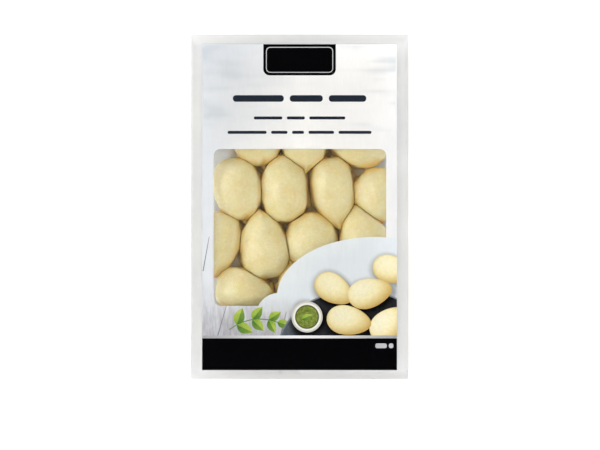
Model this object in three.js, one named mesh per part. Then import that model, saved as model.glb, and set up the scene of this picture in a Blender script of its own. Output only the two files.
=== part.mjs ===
// A sealed retail pack of filled potato gnocchi: a clear thermoformed tray with a flat flange,
// one loose layer of soft dumplings inside it, and a printed film sealed over the top.
//
// Millimetres, +Z up. The pack lies on the floor of its tray with the printed film upward.
// The origin is under the middle of the tray floor, +Y points to the top edge of the print.
import * as THREE from "three";
import { mergeVertices } from "three/addons/utils/BufferGeometryUtils.js";

// ---------------------------------------------------------------- driving dimensions
const PACK_WIDTH = 145; // across the flange, X
const PACK_LENGTH = 230; // along the flange, Y
const FLANGE_HEIGHT = 25; // top face of the flange above the table
const SEAL_WIDTH = 7; // flat flange round the opening
const CUT_CORNER_RADIUS = 1; // corners of the flange and of the film
const SHEET = 0.7; // wall of the formed tray
const FILM = 0.3; // lidding film
const FILM_CROWN = 1.2; // how far the film bulges over the middle

const OPENING_RADIUS = 17; // corners of the opening, in plan
const STEP_DEPTH = 3.2; // upright band just below the flange
const STEP_INSET = 1.2; // ledge at the foot of that band
const WALL_DRAFT = THREE.MathUtils.degToRad(6); // lean of the wall below the ledge
const FLOOR_FILLET = 6; // rounding between wall and floor

const CORNER_STEPS = 6; // facets in each rounded corner, in plan
const FILLET_STEPS = 4; // facets in the floor rounding
const CROWN_STEPS = 4; // rings in the bulge of the film

const CONTACT_GAP = 0.3; // between two dumplings, and between a dumpling and a wall
const PRESS_SOFTNESS = 1; // how gradually a dumpling flattens against what it touches
const SETTLE = 0.8; // how far a dumpling sinks into its flat underside
const FLATS = 6; // soft flat areas left on each dumpling by the forming
const FLAT_DEPTH = 1.3; // the deepest of them
const FLAT_SOFTNESS = 1.6; // how gradually they run out
const FLAT_LIFT = [28, 62]; // degrees above level that they face, least and most
const FLAT_JITTER = 0.6; // how unevenly they are spread round it
const DOUGH_DETAIL = 4; // subdivision of the sphere that each dumpling is shaped from

// ---------------------------------------------------------------- materials
const plastic = (name, color, roughness, opacity) =>
  new THREE.MeshStandardMaterial({ name, color, roughness, metalness: 0, opacity, transparent: true });

const dough = new THREE.MeshStandardMaterial({
  name: "dough",
  color: 0xe6d8a4,
  roughness: 0.6,
  metalness: 0,
});
const clearTray = plastic("clear_tray", 0xeef1f1, 0.12, 0.25);
const printedFilm = plastic("printed_film", 0xe9ebee, 0.3, 0.6);

// ---------------------------------------------------------------- rounded outlines and lofts
const flangeOutline = {
  halfWidth: PACK_WIDTH / 2,
  halfLength: PACK_LENGTH / 2,
  radius: CUT_CORNER_RADIUS,
};
const openingOutline = {
  halfWidth: PACK_WIDTH / 2 - SEAL_WIDTH,
  halfLength: PACK_LENGTH / 2 - SEAL_WIDTH,
  radius: OPENING_RADIUS,
};

/** The outline that runs a given distance inside the opening. */
const insideOpening = (distance) => ({
  halfWidth: openingOutline.halfWidth - distance,
  halfLength: openingOutline.halfLength - distance,
  radius: openingOutline.radius - distance,
});

/** Points round a rounded rectangle, anticlockwise, the same number whatever its size. */
function outlinePoints({ halfWidth, halfLength, radius }) {
  const corners = [[1, 1], [-1, 1], [-1, -1], [1, -1]];
  return corners.flatMap(([signX, signY], corner) =>
    Array.from({ length: CORNER_STEPS + 1 }, (_, step) => {
      const angle = (corner + step / CORNER_STEPS) * (Math.PI / 2);
      return [
        signX * (halfWidth - radius) + radius * Math.cos(angle),
        signY * (halfLength - radius) + radius * Math.sin(angle),
      ];
    }),
  );
}

/**
 * A closed body skinned over rings, each { outline, z }. They run outward over the lower face and
 * back inward over the upper one; a hub on the axis closes the first ring and another the last.
 */
function loft(rings, lowerHub = rings[0].z, upperHub = rings.at(-1).z) {
  const loops = rings.map(({ outline, z }) => outlinePoints(outline).map(([x, y]) => [x, y, z]));
  const count = loops[0].length;
  const hubs = loops.length * count;
  const lastLoop = hubs - count;
  const triangles = [];
  for (let i = 0; i < count; i += 1) {
    const next = (i + 1) % count;
    triangles.push([hubs, next, i], [hubs + 1, lastLoop + i, lastLoop + next]);
    for (let low = 0; low < lastLoop; low += count) {
      const high = low + count;
      triangles.push([low + i, low + next, high + next], [low + i, high + next, high + i]);
    }
  }
  const points = [...loops.flat(), [0, 0, lowerHub], [0, 0, upperHub]];
  const geometry = new THREE.BufferGeometry();
  geometry.setAttribute("position", new THREE.Float32BufferAttribute(points.flat(), 3));
  geometry.setIndex(triangles.flat());
  geometry.computeVertexNormals();
  return geometry;
}

// ---------------------------------------------------------------- tray
const LEDGE_HEIGHT = FLANGE_HEIGHT - STEP_DEPTH;
const FILLET_CENTRE_HEIGHT = SHEET + FLOOR_FILLET;
const WALL_FOOT_HEIGHT = FILLET_CENTRE_HEIGHT - FLOOR_FILLET * Math.sin(WALL_DRAFT);
const WALL_FOOT_INSET = STEP_INSET + (LEDGE_HEIGHT - WALL_FOOT_HEIGHT) * Math.tan(WALL_DRAFT);
const FILLET_CENTRE_INSET = WALL_FOOT_INSET + FLOOR_FILLET * Math.cos(WALL_DRAFT);

/** How far the inside face of the leaning wall and its fillet lies inside the opening. */
function wallInset(z) {
  if (z > WALL_FOOT_HEIGHT) return STEP_INSET + (LEDGE_HEIGHT - z) * Math.tan(WALL_DRAFT);
  const below = Math.min(FILLET_CENTRE_HEIGHT - z, FLOOR_FILLET);
  return FILLET_CENTRE_INSET - Math.sqrt(FLOOR_FILLET ** 2 - below ** 2);
}

/** Rings round the floor's fillet, for its inside face or the parallel outside one. */
function filletRings(radius) {
  return Array.from({ length: FILLET_STEPS + 1 }, (_, step) => {
    const angle = (step / FILLET_STEPS) * (Math.PI / 2 - WALL_DRAFT);
    return {
      outline: insideOpening(FILLET_CENTRE_INSET - radius * Math.sin(angle)),
      z: FILLET_CENTRE_HEIGHT - radius * Math.cos(angle),
    };
  });
}

function trayGeometry() {
  const outsideLedge = LEDGE_HEIGHT - SHEET;
  const outsideTop = FLANGE_HEIGHT - SHEET;
  return loft([
    ...filletRings(FLOOR_FILLET + SHEET),
    { outline: insideOpening(wallInset(outsideLedge) - SHEET / Math.cos(WALL_DRAFT)), z: outsideLedge },
    { outline: insideOpening(-SHEET), z: outsideLedge },
    { outline: insideOpening(-SHEET), z: outsideTop },
    { outline: flangeOutline, z: outsideTop },
    { outline: flangeOutline, z: FLANGE_HEIGHT },
    { outline: openingOutline, z: FLANGE_HEIGHT },
    { outline: openingOutline, z: LEDGE_HEIGHT },
    { outline: insideOpening(STEP_INSET), z: LEDGE_HEIGHT },
    ...filletRings(FLOOR_FILLET).toReversed(),
  ]);
}

// ---------------------------------------------------------------- lidding film
/** Height of the bulge at a share of the way from the middle of the film to the seal. */
const crown = (share) => FILM_CROWN * (1 - share ** 2) ** 2;

function filmGeometry() {
  const domeRings = (lift) =>
    Array.from({ length: CROWN_STEPS }, (_, step) => {
      const share = (step + 1) / CROWN_STEPS;
      const { halfWidth, halfLength, radius } = openingOutline;
      return {
        outline: { halfWidth: halfWidth * share, halfLength: halfLength * share, radius: radius * share },
        z: FLANGE_HEIGHT + crown(share) + lift,
      };
    });
  const rings = [
    ...domeRings(0),
    { outline: flangeOutline, z: FLANGE_HEIGHT },
    { outline: flangeOutline, z: FLANGE_HEIGHT + FILM },
    ...domeRings(FILM).toReversed(),
  ];
  return loft(rings, FLANGE_HEIGHT + crown(0), FLANGE_HEIGHT + crown(0) + FILM);
}

// ---------------------------------------------------------------- dumplings, free shape
// One entry for each dumpling, from the top edge of the pack down, left to right.
// x, y: its middle in plan. turn: how far its drawn-out end is turned anticlockwise from +Y.
// length, width, height: its size before it is pressed. point: how far that end is drawn out,
// and nib: how wide the point is. slim: how much narrower that end is than the other.
// square: squareness of the outline, where 2 is an ellipse.
const DUMPLINGS = [
  { x: -47, y: 87, turn: 14, length: 42, width: 32, height: 23, point: 3, nib: 8, slim: 0.1, square: 2.6 },
  { x: -15, y: 84, turn: 190, length: 44, width: 32, height: 24, point: 3, nib: 7, slim: 0.1, square: 2.5 },
  { x: 17, y: 87, turn: 8, length: 42, width: 32, height: 22, point: 2, nib: 8, slim: 0, square: 2.8 },
  { x: 48, y: 85, turn: 168, length: 44, width: 31, height: 23, point: 3, nib: 8, slim: 0.1, square: 2.5 },

  { x: -56, y: 57, turn: 176, length: 37, width: 26, height: 22, point: 2, nib: 8, slim: 0.1, square: 2.4 },
  { x: -29, y: 49, turn: 186, length: 44, width: 34, height: 23, point: 2, nib: 9, slim: 0.05, square: 2.9 },
  { x: 4, y: 47, turn: 177, length: 46, width: 34, height: 24, point: 4, nib: 6, slim: 0.05, square: 2.7 },
  { x: 39, y: 47, turn: 229, length: 47, width: 37, height: 23, point: 2, nib: 9, slim: 0, square: 2.4 },

  { x: -42, y: 12, turn: 189, length: 43, width: 32, height: 23, point: 2, nib: 8, slim: 0, square: 2.6 },
  { x: -10, y: 13, turn: 3, length: 46, width: 31, height: 24, point: 4, nib: 4, slim: 0, square: 2.7 },
  { x: 23, y: 10, turn: 187, length: 47, width: 29, height: 23, point: 7, nib: 6, slim: 0, square: 2.9 },
  { x: 52, y: 9, turn: 76, length: 34, width: 36, height: 22, point: 2, nib: 8, slim: 0.1, square: 2.6 },

  { x: -54, y: -25, turn: 170, length: 45, width: 27, height: 22, point: 2, nib: 8, slim: 0.1, square: 2.3 },
  { x: -24, y: -25, turn: 10, length: 47, width: 33, height: 24, point: 5, nib: 5, slim: 0.15, square: 2.4 },
  { x: 8, y: -23, turn: 5, length: 39, width: 35, height: 23, point: 2, nib: 8, slim: 0, square: 2.5 },
  { x: 43, y: -18, turn: 12, length: 43, width: 33, height: 24, point: 5, nib: 6, slim: 0.2, square: 2.3 },

  { x: -37, y: -56, turn: -99, length: 39, width: 28, height: 23, point: 3, nib: 6, slim: 0.2, square: 2.6 },
  { x: 1, y: -56, turn: 24, length: 42, width: 31, height: 22, point: 3, nib: 8, slim: 0.1, square: 2.5 },
  { x: 31, y: -58, turn: 170, length: 41, width: 31, height: 23, point: 4, nib: 7, slim: 0.1, square: 2.7 },
  { x: 55, y: -53, turn: 4, length: 39, width: 26, height: 22, point: 2, nib: 8, slim: 0, square: 2.5 },

  { x: -47, y: -88, turn: 200, length: 42, width: 32, height: 23, point: 3, nib: 8, slim: 0.1, square: 2.6 },
  { x: -16, y: -88, turn: 10, length: 42, width: 32, height: 24, point: 2, nib: 8, slim: 0, square: 2.7 },
  { x: 15, y: -89, turn: 174, length: 41, width: 32, height: 22, point: 4, nib: 7, slim: 0.1, square: 2.6 },
  { x: 47, y: -88, turn: 16, length: 42, width: 32, height: 23, point: 3, nib: 8, slim: 0.1, square: 2.6 },
];

const TOP_SQUARENESS = 2.3; // squareness of a dumpling's upper half, seen from the side
const UNDERSIDE_SQUARENESS = 3; // and of its lower half, which has settled
const TIP_THINNING = 0.15; // how much thinner the drawn-out end is

/** A soft cushion of dough, drawn out to a blunt point at one end, before it touches anything. */
function freeDumpling({ x, y, turn, length, width, height, point, nib, slim, square }) {
  const sphere = new THREE.IcosahedronGeometry(1, DOUGH_DETAIL);
  sphere.deleteAttribute("normal");
  sphere.deleteAttribute("uv");
  const geometry = mergeVertices(sphere);
  const corners = geometry.attributes.position;
  const shaped = new THREE.Vector3();
  for (let i = 0; i < corners.count; i += 1) {
    shaped.fromBufferAttribute(corners, i);
    const flat = (Math.abs(shaped.x) ** square + Math.abs(shaped.y) ** square) ** (1 / square);
    const squareness = shaped.z > 0 ? TOP_SQUARENESS : UNDERSIDE_SQUARENESS;
    const bulk = flat ** squareness + Math.abs(shaped.z) ** squareness;
    shaped.multiplyScalar(bulk ** (-1 / squareness));
    const ahead = Math.max(shaped.y, 0);
    const across = (width / 2) * shaped.x * (1 - slim * shaped.y);
    const drawn = point * (ahead ** 2 * Math.exp(-((across / nib) ** 2)) - 0.5);
    const along = ((length - point) / 2) * shaped.y + drawn;
    const up = (height / 2) * shaped.z * (1 - TIP_THINNING * ahead);
    corners.setXYZ(i, across, along, up);
  }
  geometry.rotateZ(THREE.MathUtils.degToRad(turn));
  geometry.translate(x, y, SHEET + height / 2 - SETTLE);
  return geometry;
}

// ---------------------------------------------------------------- dumplings, pressed together
// A limit is { room, away }: room(v) is how far a point still is from the limiting face, and
// away(v) the unit vector that leads away from it. Every limit bounds a convex space, so a body
// whose corners keep all its limits lies clear of its neighbours and of the tray.
const SWINGS = Array.from({ length: 21 }, (_, step) => THREE.MathUtils.degToRad(6 * (step - 10)));

function vertexList(geometry) {
  const { position } = geometry.attributes;
  const vertexAt = (i) => new THREE.Vector3().fromBufferAttribute(position, i);
  return Array.from({ length: position.count }, (_, i) => vertexAt(i));
}

/** The two limits of the upright plane that parts two dumplings where they overlap least. */
function partingLimits(first, second) {
  const heading = Math.atan2(second.spec.y - first.spec.y, second.spec.x - first.spec.x);
  const planes = SWINGS.map((swing) => {
    const normal = new THREE.Vector3(Math.cos(heading + swing), Math.sin(heading + swing), 0);
    const reach = Math.max(...first.vertices.map((v) => v.dot(normal)));
    const start = Math.min(...second.vertices.map((v) => v.dot(normal)));
    return { normal, overlap: reach - start, middle: (reach + start) / 2 };
  });
  const { normal, overlap, middle } = planes.reduce((a, b) => (b.overlap < a.overlap ? b : a));
  if (overlap < -CONTACT_GAP - 2 * PRESS_SOFTNESS) return null;
  const back = normal.clone().negate();
  return [
    { room: (v) => middle - CONTACT_GAP / 2 - v.dot(normal), away: () => back },
    { room: (v) => v.dot(normal) - middle - CONTACT_GAP / 2, away: () => normal },
  ];
}

/** The tray's wall, which runs round the dumpling in plan at every height. */
const wallLimit = {
  room(v) {
    const { halfWidth, halfLength, radius } = openingOutline;
    const beyondX = Math.abs(v.x) - (halfWidth - radius);
    const beyondY = Math.abs(v.y) - (halfLength - radius);
    const outside = Math.hypot(Math.max(beyondX, 0), Math.max(beyondY, 0));
    return radius - outside - Math.min(Math.max(beyondX, beyondY), 0) - wallInset(v.z) - CONTACT_GAP;
  },
  away(v) {
    const beyondX = Math.abs(v.x) - (openingOutline.halfWidth - openingOutline.radius);
    const beyondY = Math.abs(v.y) - (openingOutline.halfLength - openingOutline.radius);
    if (Math.min(beyondX, beyondY) > 0) {
      return new THREE.Vector3(-Math.sign(v.x) * beyondX, -Math.sign(v.y) * beyondY, 0).normalize();
    }
    return beyondX > beyondY
      ? new THREE.Vector3(-Math.sign(v.x), 0, 0)
      : new THREE.Vector3(0, -Math.sign(v.y), 0);
  },
};

const floorLimit = { room: (v) => v.z - SHEET, away: () => new THREE.Vector3(0, 0, 1) };

/** Flattens a dumpling gradually as it nears a limit, never past it. */
function pressSoftly(vertices, { room, away }, softness = PRESS_SOFTNESS) {
  for (const v of vertices) {
    const left = room(v);
    if (left >= softness) continue;
    const kept = softness * Math.exp(left / softness - 1);
    v.addScaledVector(away(v), kept - left);
  }
}

/** A repeatable draw of numbers from 0 to 1. */
function numberDraw(seed) {
  let state = seed;
  return () => {
    state = (Math.imul(state, 1664525) + 1013904223) >>> 0;
    return state / 2 ** 32;
  };
}

/** Leaves a few soft flats on the upper side of a dumpling, spread round it by an uneven turn. */
function formFlats(vertices, draw) {
  const start = draw() * 2 * Math.PI;
  for (let flat = 0; flat < FLATS; flat += 1) {
    const heading = start + ((flat + FLAT_JITTER * draw()) / FLATS) * 2 * Math.PI;
    const lift = THREE.MathUtils.degToRad(THREE.MathUtils.lerp(...FLAT_LIFT, draw()));
    const normal = new THREE.Vector3().setFromSphericalCoords(1, Math.PI / 2 - lift, heading);
    normal.set(normal.x, normal.z, normal.y);
    const reach = Math.max(...vertices.map((v) => v.dot(normal)));
    const depth = FLAT_DEPTH * (0.4 + 0.6 * draw());
    const back = normal.clone().negate();
    const limit = { room: (v) => reach - depth - v.dot(normal), away: () => back };
    pressSoftly(vertices, limit, FLAT_SOFTNESS);
  }
}

const SETTLING_ROUNDS = 40;

/** Moves each corner that still breaks a limit onto it, until all limits hold together. */
function pressFirmly(vertices, limits) {
  for (let round = 0; round < SETTLING_ROUNDS; round += 1) {
    for (const { room, away } of limits) {
      for (const v of vertices) {
        const left = room(v);
        if (left < 0) v.addScaledVector(away(v), -left);
      }
    }
  }
}

function pressedDumplings() {
  const dumplings = DUMPLINGS.map((spec) => {
    const geometry = freeDumpling(spec);
    return { spec, geometry, vertices: vertexList(geometry), limits: [wallLimit] };
  });
  dumplings.forEach(({ vertices }, index) => {
    formFlats(vertices, numberDraw(index + 1));
    pressSoftly(vertices, wallLimit);
  });
  dumplings.forEach((first, index) => {
    for (const second of dumplings.slice(index + 1)) {
      const limits = partingLimits(first, second);
      if (!limits) continue;
      first.limits.push(limits[0]);
      second.limits.push(limits[1]);
    }
  });
  for (const { geometry, vertices, limits } of dumplings) {
    for (const limit of limits.slice(1)) pressSoftly(vertices, limit);
    pressFirmly(vertices, [...limits, floorLimit]);
    vertices.forEach((v, i) => geometry.attributes.position.setXYZ(i, v.x, v.y, v.z));
    geometry.computeVertexNormals();
  }
  return dumplings;
}

// ---------------------------------------------------------------- assembly
function namedMesh(name, geometry, material) {
  const mesh = new THREE.Mesh(geometry, material);
  mesh.name = name;
  return mesh;
}

const pack = new THREE.Group();
pack.name = "gnocchi_pack";
pack.add(namedMesh("tray", trayGeometry(), clearTray));
pack.add(namedMesh("lid_film", filmGeometry(), printedFilm));

pressedDumplings().forEach(({ spec, geometry }, index) => {
  const name = `gnocchi_${String(index + 1).padStart(2, "0")}`;
  geometry.translate(-spec.x, -spec.y, 0);
  const mesh = namedMesh(name, geometry, dough);
  mesh.position.set(spec.x, spec.y, 0);
  pack.add(mesh);
});

export default pack;
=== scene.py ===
"""Looks of a sealed tray pack of filled potato gnocchi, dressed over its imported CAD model.

The pack lies on its back: a clear formed tray, one loose layer of dough dumplings and a printed
film with a clear window. Everything is in metres in the CAD's frame: origin under the middle of
the tray, +Y to the top edge of the print, +Z up.
"""

import math

import bmesh
import bpy
import numpy as np
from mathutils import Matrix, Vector, noise
from mathutils.bvhtree import BVHTree
from mathutils.geometry import delaunay_2d_cdt


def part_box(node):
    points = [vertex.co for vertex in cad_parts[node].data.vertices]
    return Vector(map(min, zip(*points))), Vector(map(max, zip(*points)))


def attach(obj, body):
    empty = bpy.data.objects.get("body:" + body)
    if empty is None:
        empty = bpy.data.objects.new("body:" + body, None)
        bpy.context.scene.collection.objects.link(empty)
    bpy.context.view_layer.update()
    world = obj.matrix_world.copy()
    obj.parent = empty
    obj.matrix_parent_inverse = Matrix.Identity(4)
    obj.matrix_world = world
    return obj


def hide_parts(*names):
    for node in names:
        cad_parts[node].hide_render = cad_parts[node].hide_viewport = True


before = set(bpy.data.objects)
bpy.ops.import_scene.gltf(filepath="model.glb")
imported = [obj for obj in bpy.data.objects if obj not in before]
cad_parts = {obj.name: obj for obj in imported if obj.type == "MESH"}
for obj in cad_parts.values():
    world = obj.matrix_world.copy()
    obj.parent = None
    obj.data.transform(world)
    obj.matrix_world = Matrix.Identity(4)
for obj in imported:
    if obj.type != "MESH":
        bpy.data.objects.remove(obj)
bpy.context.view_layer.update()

MM = 0.001

# ------------------------------------------------------------------ sizes taken from the frame
TRAY_HIGH = Vector(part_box("tray")[1])
FILM_HIGH = Vector(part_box("lid_film")[1])
HALF_WIDTH = TRAY_HIGH.x
HALF_LENGTH = TRAY_HIGH.y
FLANGE_TOP = TRAY_HIGH.z
DOUGH_NODES = sorted(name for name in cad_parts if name.startswith("gnocchi_"))

# ------------------------------------------------------------------ sizes of the real pack
SEAL = 7 * MM  # flat flange round the opening
SHEET = 0.7 * MM  # wall of the tray
OPENING_RADIUS = 17 * MM
CUT_CORNER = 1 * MM
STEP_DEPTH = 3.2 * MM
STEP_INSET = 1.2 * MM
DRAFT = math.radians(6)
FILLET = 6 * MM
FILM = 0.3 * MM
SKIN_GAP = 0.05 * MM  # keeps a surface just clear of the one that it lies on
FILM_CROWN = FILM_HIGH.z - FLANGE_TOP - FILM
OPENING_X = HALF_WIDTH - SEAL
OPENING_Y = HALF_LENGTH - SEAL


# ------------------------------------------------------------------ colour and node helpers
def linear(red, green, blue):
    """A colour given as the 0 to 255 values a screen shows, as linear light."""
    shown = np.array([red, green, blue]) / 255
    light = np.where(shown <= 0.04045, shown / 12.92, ((shown + 0.055) / 1.055) ** 2.4)
    return tuple(float(value) for value in light)


def rgba(colour):
    return (*colour, 1.0)


def grey(value):
    return (value, value, value, 1.0)


WHITE, BLACK = grey(1.0), grey(0.0)


def clamped(value, low=0.0, high=1.0):
    return min(max(value, low), high)


# Light in this studio, where 1 off a white sheet shows as white:
LIGHT_ABOVE = 1.39  # on a sheet that faces up
LIGHT_BELOW = 0.74  # on the underside of the film, from the pack and the table
SHEERNESS = 0.38  # share of the light that soaks through the printed film
SEAL_CLARITY = 0.5  # share of the sealed margin that is see-through


def inked(red, green, blue):
    """Base colour of a flat print that shows as these 0 to 255 values under the studio's lights."""
    light = LIGHT_ABOVE * (1 - SHEERNESS) + LIGHT_BELOW * SHEERNESS
    return tuple(value / light for value in linear(red, green, blue))


class Shader:
    """A material's node tree, with short calls to add nodes and links."""

    def __init__(self, name):
        self.material = bpy.data.materials.new(name)
        self.material.use_nodes = True
        self.tree = self.material.node_tree
        self.tree.nodes.clear()
        self.out = self.tree.nodes.new("ShaderNodeOutputMaterial")
        self.coords = None

    def feed(self, socket, value):
        """Links a socket to another node's output, or sets it to a plain value."""
        if isinstance(value, bpy.types.NodeSocket):
            self.tree.links.new(value, socket)
        else:
            socket.default_value = value

    def node(self, kind, values=None, **settings):
        made = self.tree.nodes.new("ShaderNode" + kind)
        for key, value in settings.items():
            setattr(made, key, value)
        for key, value in (values or {}).items():
            self.feed(made.inputs[key], value)
        return made

    def place(self, stretch=(1, 1, 1)):
        """Object coordinates in metres, stretched."""
        if self.coords is None:
            self.coords = self.node("TexCoord").outputs["Object"]
        return self.node("Mapping", {"Vector": self.coords, "Scale": stretch}).outputs["Vector"]

    def noise(self, scale, detail=3.0, roughness=0.5, stretch=(1, 1, 1)):
        """Cloudy noise. The scale is about how many blotches there are in a metre."""
        values = {
            "Vector": self.place(stretch),
            "Scale": scale,
            "Detail": detail,
            "Roughness": roughness,
        }
        return self.node("TexNoise", values).outputs["Fac"]

    def ramp(self, value, low, high, first=BLACK, last=WHITE):
        made = self.node("ValToRGB", {"Fac": value})
        for element, place, colour in zip(made.color_ramp.elements, (low, high), (first, last)):
            element.position, element.color = place, colour
        return made.outputs["Color"]

    def mix(self, factor, first, second, blend="MIX"):
        values = {0: factor, 6: first, 7: second}
        return self.node("Mix", values, data_type="RGBA", blend_type=blend).outputs[2]

    def times(self, first, second):
        return self.mix(1.0, first, second, "MULTIPLY")

    def math(self, operation, first, second=0.0):
        return self.node("Math", {0: first, 1: second}, operation=operation).outputs[0]

    def bump(self, height, distance, strength=1.0):
        values = {"Height": height, "Distance": distance, "Strength": strength}
        return self.node("Bump", values).outputs["Normal"]

    def mix_shaders(self, factor, first, second):
        values = {"Fac": factor, 1: first.outputs[0], 2: second.outputs[0]}
        return self.node("MixShader", values)

    def surface(self, shader_node):
        self.feed(self.out.inputs["Surface"], shader_node.outputs[0])
        return self.material


# ------------------------------------------------------------------ materials
FLOUR_SHARE = 0.3  # how much the flecks of flour whiten the dough
GRAIN_SHARE = 0.2  # height of the dough's fine grain against its lumps
DOUGH_RELIEF = 0.45 * MM


def dough_material():
    """Potato dough: creamy yellow, faintly mottled and floury, with painted shade, golden then
    brown, on low sides that face a close neighbour.
    """
    shader = Shader("potato_dough")
    body = rgba(linear(211, 202, 158))
    warm = rgba(linear(205, 190, 136))
    pale = rgba(linear(235, 230, 204))
    shade_gold = rgba(linear(205, 168, 84))
    gap_shade = rgba(linear(206, 174, 118))
    blotches = shader.ramp(shader.noise(95, 4, 0.6), 0.36, 0.64)
    colour = shader.mix(blotches, body, warm)
    flour = shader.ramp(shader.noise(520, 4, 0.7), 0.5, 0.68)
    colour = shader.mix(shader.math("MULTIPLY", flour, FLOUR_SHARE), colour, pale)
    # Painted shade: low sides that face a close neighbour turn golden, then brown, for the shade in
    # the gaps between dumplings.
    gap_shading = shader.node("Attribute", attribute_name="gap_shade").outputs["Fac"]
    colour = shader.mix(shader.ramp(gap_shading, 0.0, 0.34), colour, shade_gold)
    colour = shader.mix(shader.ramp(gap_shading, 0.38, 0.8), colour, gap_shade)
    grain = shader.math("MULTIPLY", shader.noise(1100, 4, 0.65), GRAIN_SHARE)
    lumps = shader.noise(260, 4, 0.55)
    relief = shader.bump(shader.math("ADD", grain, lumps), DOUGH_RELIEF, 0.8)
    values = {
        "Base Color": colour,
        "Roughness": 0.56,
        "Subsurface Weight": 0.85,
        "Subsurface Radius": (1.0, 0.64, 0.24),
        "Subsurface Scale": 9 * MM,
        "Specular IOR Level": 1.0,
        "Coat Weight": 1.0,
        "Coat IOR": 1.8,
        "Coat Roughness": 0.5,
        "Normal": relief,
        "Coat Normal": relief,
    }
    return shader.surface(shader.node("BsdfPrincipled", values))


SHEET_IOR = 1.6  # the mirroring of a sheet's two faces taken together
INNER_SPAN = 40 * MM  # distance from the tray's walls over which its painted shade tint comes in


def painted_shade_share(shader):
    """How much painted shade the tray takes: 0 along its walls, rising to 1 well inside them."""
    place = shader.node("SeparateXYZ", {0: shader.place()})
    shares = []
    for axis, half in (("X", OPENING_X), ("Y", OPENING_Y)):
        away = shader.math("SUBTRACT", half, shader.math("ABSOLUTE", place.outputs[axis]))
        shares.append(shader.math("DIVIDE", away, INNER_SPAN))
    return shader.ramp(shader.math("MINIMUM", *shares), 0.4, 0.75)


def clear_sheet_material(name, tint, edge_tint, haze, haze_colour, shade_tint=None):
    """Clear plastic sheet: see-through, darker and mirroring more at a slant, a little hazy.

    Well inside the tray's walls it takes a shade tint: painted shade, brownish, that darkens the
    gaps between the dumplings.
    """
    shader = Shader(name)
    slant = shader.node("LayerWeight", {"Blend": 0.35}).outputs["Facing"]
    tint, haze_colour = rgba(tint), rgba(haze_colour)
    # Painted shade: the see-through and hazy colours turn darker and browner well inside the walls.
    if shade_tint is not None:
        inner = painted_shade_share(shader)
        tint = shader.mix(inner, tint, rgba(shade_tint))
        haze_colour = shader.mix(inner, haze_colour, rgba(tuple(value**3 for value in shade_tint)))
    geometry = shader.node("NewGeometry")
    upright = shader.node("SeparateXYZ", {0: geometry.outputs["True Normal"]}).outputs["Z"]
    leaning = shader.ramp(shader.math("ABSOLUTE", upright), 0.9, 0.99, WHITE, BLACK)
    edge = shader.math("MULTIPLY", shader.ramp(slant, 0.3, 1.0), leaning)
    tint = shader.mix(edge, tint, rgba(edge_tint))
    fresnel = shader.node("Fresnel", {"IOR": SHEET_IOR}).outputs[0]
    front = shader.math("SUBTRACT", 1.0, geometry.outputs["Backfacing"])
    glare = shader.math("MULTIPLY", fresnel, front)
    clear = shader.node("BsdfTransparent", {"Color": tint})
    mirror = shader.node("BsdfGlossy", {"Color": WHITE, "Roughness": 0.1})
    glossy = shader.mix_shaders(glare, clear, mirror)
    scattered = shader.node("BsdfDiffuse", {"Color": haze_colour})
    soaked = shader.node("BsdfTranslucent", {"Color": haze_colour})
    milk = shader.mix_shaders(0.5, scattered, soaked)
    return shader.surface(shader.mix_shaders(haze, glossy, milk))


def seal_material():
    """The margin where clear film is sealed to the flange: half clear, milky, finely uneven."""
    shader = Shader("sealed_margin")
    mottle = shader.ramp(shader.noise(160, 4, 0.6), 0.3, 0.8)
    painted = shader.node("VertexColor", layer_name="print").outputs["Color"]
    colour = shader.times(painted, shader.mix(mottle, grey(0.97), WHITE))
    values = {
        "Base Color": colour,
        "Roughness": 0.3,
        "Specular IOR Level": 0.4,
        "Normal": shader.bump(shader.noise(700, 2), 0.1 * MM, 0.25),
    }
    sheet = shader.node("BsdfPrincipled", values)
    soaked = shader.node("BsdfTranslucent", {"Color": colour})
    milk = shader.mix_shaders(SHEERNESS, sheet, soaked)
    clear = shader.node("BsdfTransparent", {"Color": WHITE})
    return shader.surface(shader.mix_shaders(SEAL_CLARITY, milk, clear))


def print_material(name, boards=False):
    """Printed film: colours painted on the face corners, flecked, or grained like old boards."""
    shader = Shader(name)
    colour = shader.node("VertexColor", layer_name="print").outputs["Color"]
    share = shader.node("Attribute", attribute_name="mottle").outputs["Fac"]
    if boards:
        strokes = shader.ramp(shader.noise(750, 4, 0.65, stretch=(1, 0.13, 1)), 0.36, 0.64)
        worn = shader.ramp(shader.noise(230, 4, 0.6, stretch=(1, 0.3, 1)), 0.42, 0.6)
        grain = shader.mix(strokes, (0.84, 0.82, 0.82, 1), (1.09, 1.1, 1.11, 1))
        patches = shader.mix(worn, (0.88, 0.85, 0.86, 1), (1.06, 1.06, 1.07, 1))
        clouds = shader.ramp(shader.noise(34, 3, 0.6, stretch=(0.5, 1.5, 1)), 0.36, 0.6)
        colour = shader.times(colour, shader.mix(clouds, (0.965, 0.97, 0.975, 1), WHITE))
        textured = shader.times(shader.times(colour, grain), patches)
    else:
        mottle = shader.ramp(shader.noise(520, 4, 0.7), 0.32, 0.68)
        textured = shader.times(colour, shader.mix(mottle, grey(0.45), grey(1.5)))
    colour = shader.mix(share, colour, textured)
    values = {"Base Color": colour, "Roughness": 0.2, "Specular IOR Level": 0.35}
    sheet = shader.node("BsdfPrincipled", values)
    soaked = shader.node("BsdfTranslucent", {"Color": colour})
    return shader.surface(shader.mix_shaders(SHEERNESS, sheet, soaked))


def floor_material():
    shader = Shader("studio_floor")
    values = {"Base Color": grey(0.95), "Roughness": 0.9}
    return shader.surface(shader.node("BsdfPrincipled", values))


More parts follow.
